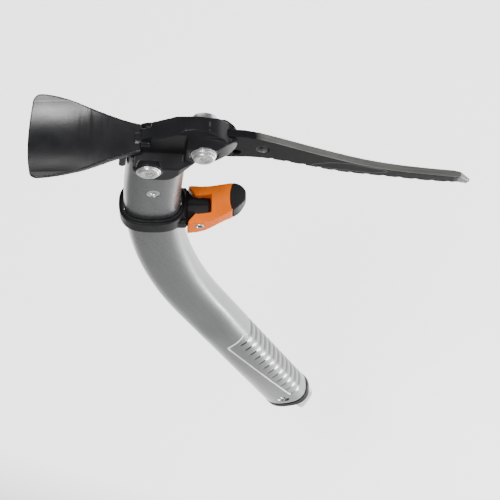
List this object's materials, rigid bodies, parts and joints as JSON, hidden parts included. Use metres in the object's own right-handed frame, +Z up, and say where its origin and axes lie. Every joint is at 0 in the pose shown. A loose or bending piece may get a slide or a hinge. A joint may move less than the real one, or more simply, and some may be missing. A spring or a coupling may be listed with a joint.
{
  "type": "ice axe",
  "caption": "Short technical ice axe: bent oval tube shaft, forged head with toothed pick and scooped adze, sliding hand rest with a sprung trigger, steel spike.",
  "frame": {"origin": "centre of the tether hole in the spike", "axes": "+Z up the straight grip towards the head, +X towards the pick, +Y across the shaft"},
  "size_m": [0.2168, 0.0492, 0.4428],
  "materials": {
    "shaft_metal": "satin anodised, fine brushed",
    "black_steel": "satin black coat over a forging",
    "blade_steel": "black coat, ground grey spine and bare point",
    "spike_steel": "ground",
    "bright_steel": "polished zinc plate",
    "black_plastic": "satin moulded",
    "orange_plastic": "satin moulded",
    "black_rubber": "matt"
  },
  "bodies": {
    "shaft": {"shaft_tube": "shaft_metal", "head_core": "shaft_metal", "head_pin": "bright_steel", "head_body": "black_steel", "pick": "blade_steel", "adze": "black_steel", "rear_bolt": "bright_steel", "rear_nut": "bright_steel", "front_bolt": "bright_steel", "front_nut": "bright_steel", "near_washer": "bright_steel", "far_washer": "bright_steel", "end_plug": "black_plastic", "spike": "spike_steel", "foot_pin": "bright_steel"},
    "rest": {"rest_collar": "black_plastic", "collar_liner": "black_plastic", "trigger_spring": "bright_steel"},
    "trigger": {"trigger": "orange_plastic", "trigger_pad": "black_rubber", "trigger_pin": "bright_steel", "brake_shoe": "black_rubber"}
  },
  "joints": [
    {"name": "rest_travel", "type": "hinge", "parent": "shaft", "child": "rest", "pos_m": [0.39, 0, 0.184], "axis": [0, 1, 0], "range_deg": [-20, 4]},
    {"name": "trigger_lift", "type": "hinge", "parent": "rest", "child": "trigger", "pos_m": [0.04849, 0, 0.30823], "axis": [0, -1, 0], "range_deg": [0, 8], "stiffness_Nm_per_rad": 0.3, "springref_deg": -8.59}
  ]
}
